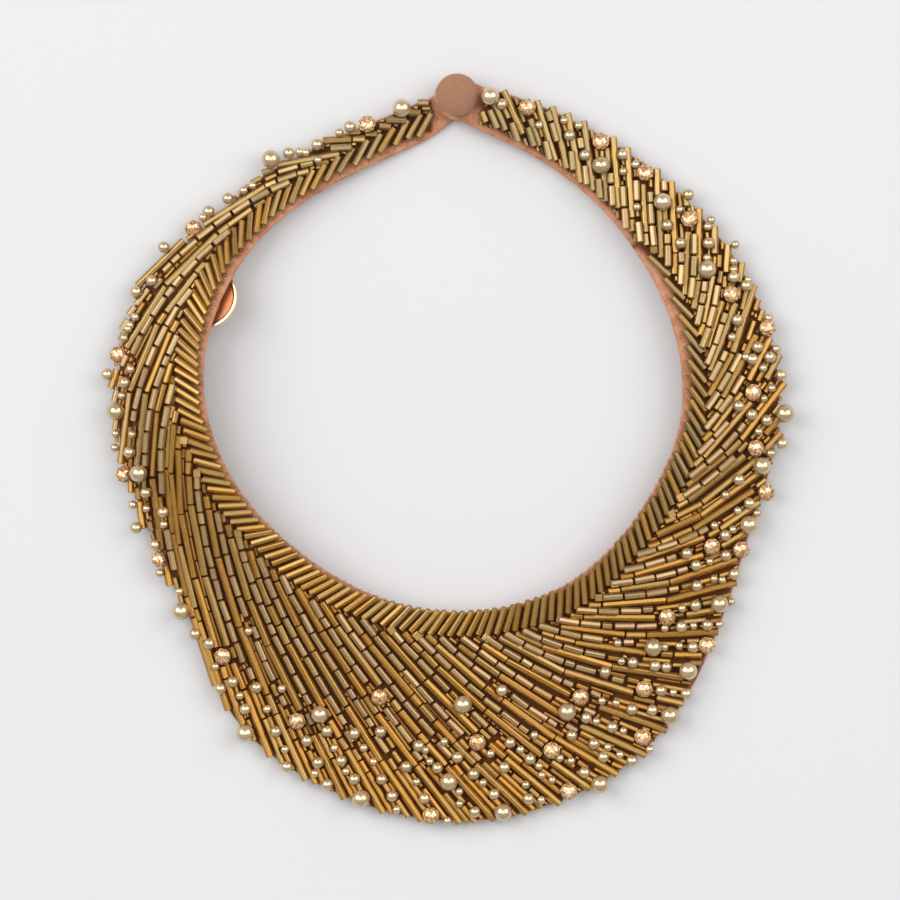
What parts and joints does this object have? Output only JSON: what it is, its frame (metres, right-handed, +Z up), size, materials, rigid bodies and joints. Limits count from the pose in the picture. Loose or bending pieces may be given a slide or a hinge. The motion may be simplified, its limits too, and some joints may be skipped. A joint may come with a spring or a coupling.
{
  "type": "bib necklace",
  "caption": "Asymmetric bib collar of gold bugle beads, pearls and cupped stones on suede, lying flat, fastened at the nape under a covered button.",
  "frame": {"origin": "on the table, under the middle of the collar's footprint", "axes": "+Z up off the table, +Y towards the nape and its button, -Y towards the deep front of the bib"},
  "size_m": [0.1718, 0.1882, 0.0153],
  "materials": {
    "suede": "salmon tan suede with a cut edge",
    "gold_beads": "satin antique gold glass bugles and pearls",
    "crystal": "peach cut stone in a brass cup",
    "twill": "mauve brown twill stretched over a button",
    "snap_metal": "plain pressed metal",
    "disc_metal": "satin copper gold with a bright rim"
  },
  "bodies": {
    "root": {"backing": "suede", "border_bugles": "gold_beads", "bead_field": "gold_beads", "cover_button": "twill", "snap": "snap_metal", "back_disc": "disc_metal", "rhinestone_01": "crystal", "rhinestone_02": "crystal", "rhinestone_03": "crystal", "rhinestone_04": "crystal", "rhinestone_05": "crystal", "rhinestone_06": "crystal", "rhinestone_07": "crystal", "rhinestone_08": "crystal", "rhinestone_09": "crystal", "rhinestone_10": "crystal", "rhinestone_11": "crystal", "rhinestone_12": "crystal", "rhinestone_13": "crystal", "rhinestone_14": "crystal", "rhinestone_15": "crystal", "rhinestone_16": "crystal", "rhinestone_17": "crystal", "rhinestone_18": "crystal", "rhinestone_19": "crystal", "rhinestone_20": "crystal", "rhinestone_21": "crystal", "rhinestone_22": "crystal", "rhinestone_23": "crystal", "rhinestone_24": "crystal", "rhinestone_25": "crystal", "rhinestone_26": "crystal", "rhinestone_27": "crystal", "rhinestone_28": "crystal"}
  },
  "joints": []
}
